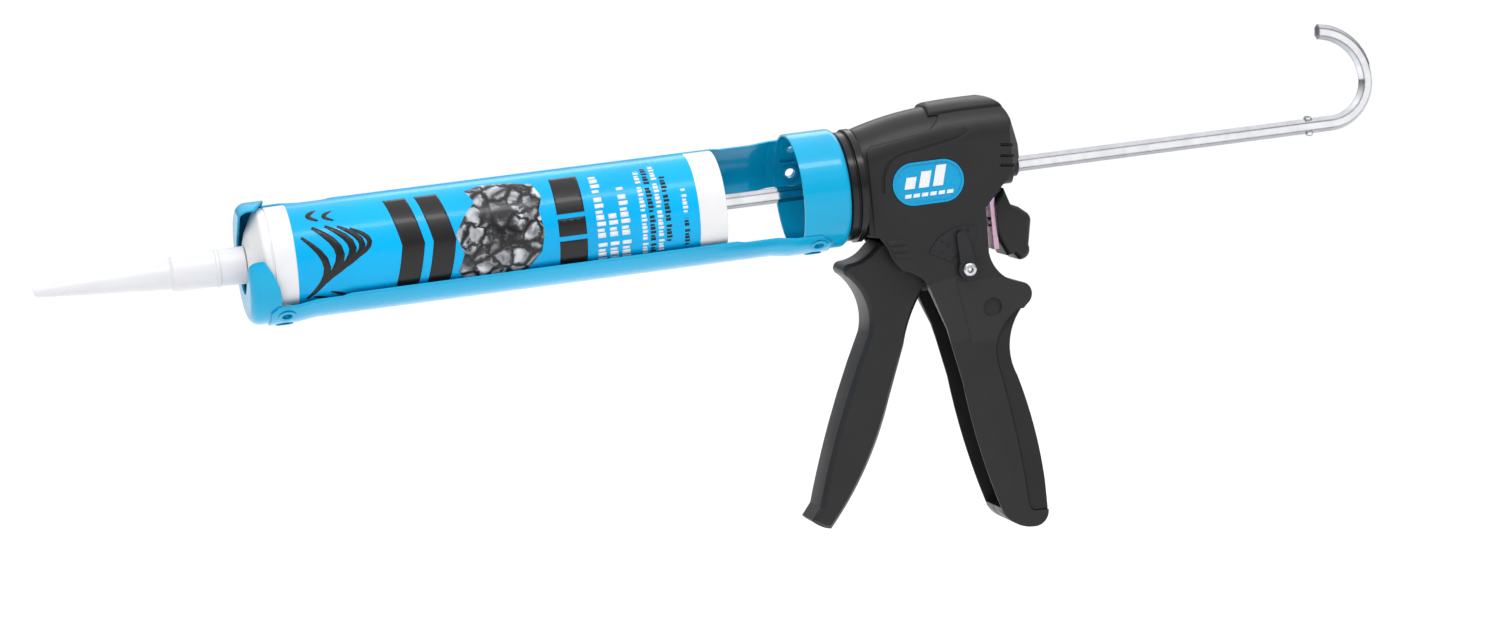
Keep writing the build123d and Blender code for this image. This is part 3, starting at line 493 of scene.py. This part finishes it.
def leaning(x, z, width, height, lean=0.28):
    shift = lean * height
    return [(x, z), (x + width, z), (x + width + shift, z + height), (x + shift, z + height)]


for side, y in (("left", -badge_face), ("right", badge_face)):
    bars = [leaning(403.9 + 6.9 * i, -3.4, 4.9, 5.4 + 2.1 * i) for i in range(3)]
    dashes = [leaning(403.6 + 4.1 * i, -7.6, 3.0, 1.7) for i in range(6)]
    plate("badge_motif_" + side, bars + dashes, y, motif_relief, ink_white, "grip")


# ------------------------------------------------------------------ dial figures

dial_centre = (430.4, -44.2)
figure_radius = 18.2
figure_size = 0.0026
figure_half_depth = 0.00012
figure_plane = -0.0201

for figure, angle in (("1", 146), ("2", 128), ("3", 100), ("4", 84)):
    curve = bpy.data.curves.new("figure_curve_" + figure, "FONT")
    curve.body = figure
    curve.size = figure_size
    curve.extrude = figure_half_depth
    curve.align_x = "CENTER"
    curve.align_y = "CENTER"
    source = shown("figure_source_" + figure, curve)
    mesh = bpy.data.meshes.new_from_object(source)
    bpy.data.objects.remove(source)
    place, spin = math.radians(angle), math.radians(angle - 90)
    px = (dial_centre[0] + figure_radius * math.cos(place)) / 1000
    pz = (dial_centre[1] + figure_radius * math.sin(place)) / 1000
    mesh.transform(Matrix(((math.cos(spin), -math.sin(spin), 0, px),
                           (0, 0, -1, figure_plane),
                           (math.sin(spin), math.cos(spin), 0, pz),
                           (0, 0, 0, 1))))
    mesh.materials.clear()
    mesh.materials.append(nylon)
    obj = shown("dial_figure_" + figure, mesh)
    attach(obj, "grip")


# ------------------------------------------------------------------ floor and light

floor_z = -0.36
floor_half = 40
corners = [(-1, -1), (1, -1), (1, 1), (-1, 1)]
floor_mesh = bpy.data.meshes.new("floor")
floor_mesh.from_pydata([(i * floor_half, j * floor_half, floor_z) for i, j in corners],
                       [], [(0, 1, 2, 3)])
floor = shown("floor", floor_mesh)
floor_mesh.materials.append(pale_floor("floor_pale"))

# sky that is dark at the horizon and bright overhead
world = bpy.data.worlds.new("studio")
bpy.context.scene.world = world
world.use_nodes = True
tree = world.node_tree
back = tree.nodes["Background"]
direction = tree.nodes.new("ShaderNodeTexCoord")
split = tree.nodes.new("ShaderNodeSeparateXYZ")
tree.links.new(direction.outputs["Generated"], split.inputs[0])
grad = tree.nodes.new("ShaderNodeValToRGB")
for stop, (place, level) in zip(grad.color_ramp.elements, [(0.0, 0.10), (0.8, 1.0)]):
    stop.position = place
    stop.color = (level, level, level * 1.01, 1)
tree.links.new(split.outputs["Z"], grad.inputs[0])
tree.links.new(grad.outputs[0], back.inputs["Color"])
back.inputs["Strength"].default_value = 1.33

gun_middle = Vector((0.33, 0, 0))


def softbox(name, centre, width, height, power):
    """Rectangular light aimed at the middle of the gun."""
    data = bpy.data.lights.new(name, "AREA")
    data.shape = "RECTANGLE"
    data.size = width
    data.size_y = height
    data.energy = power
    obj = shown(name, data)
    obj.location = centre
    obj.rotation_mode = "QUATERNION"
    obj.rotation_quaternion = (gun_middle - Vector(centre)).to_track_quat("-Z", "Y")


softbox("key_top", (0.3, -0.75, 1.1), 1.5, 0.22, 9.0)
softbox("fill_front", (-1.0, -1.5, 0.6), 0.4, 1.0, 2.0)
softbox("rim_back", (0.9, 1.2, 0.9), 1.2, 0.5, 3.5)


# ------------------------------------------------------------------ camera

camera_place = (-0.1269, -1.9583, 0.1880)
yaw, pitch, roll = -0.228416, -0.118999, 0.108171

camera_data = bpy.data.cameras.new("camera")
camera = shown("camera", camera_data)
camera_data.sensor_width = 36.0
camera_data.lens = 103.6224
camera_data.clip_start = 0.05
camera_data.clip_end = 200
turn = (Matrix.Rotation(yaw, 3, "Z") @ Matrix.Rotation(pitch, 3, "X")
        @ Matrix.Rotation(roll, 3, "Y"))
# the camera's own axes: X right, Y up, and Z pointing back from the view
axes = Matrix((turn.col[0], turn.col[2], -turn.col[1])).transposed()
camera.matrix_world = Matrix.Translation(camera_place) @ axes.to_4x4()
bpy.context.scene.camera = camera
bpy.context.scene.view_settings.view_transform = "Standard"
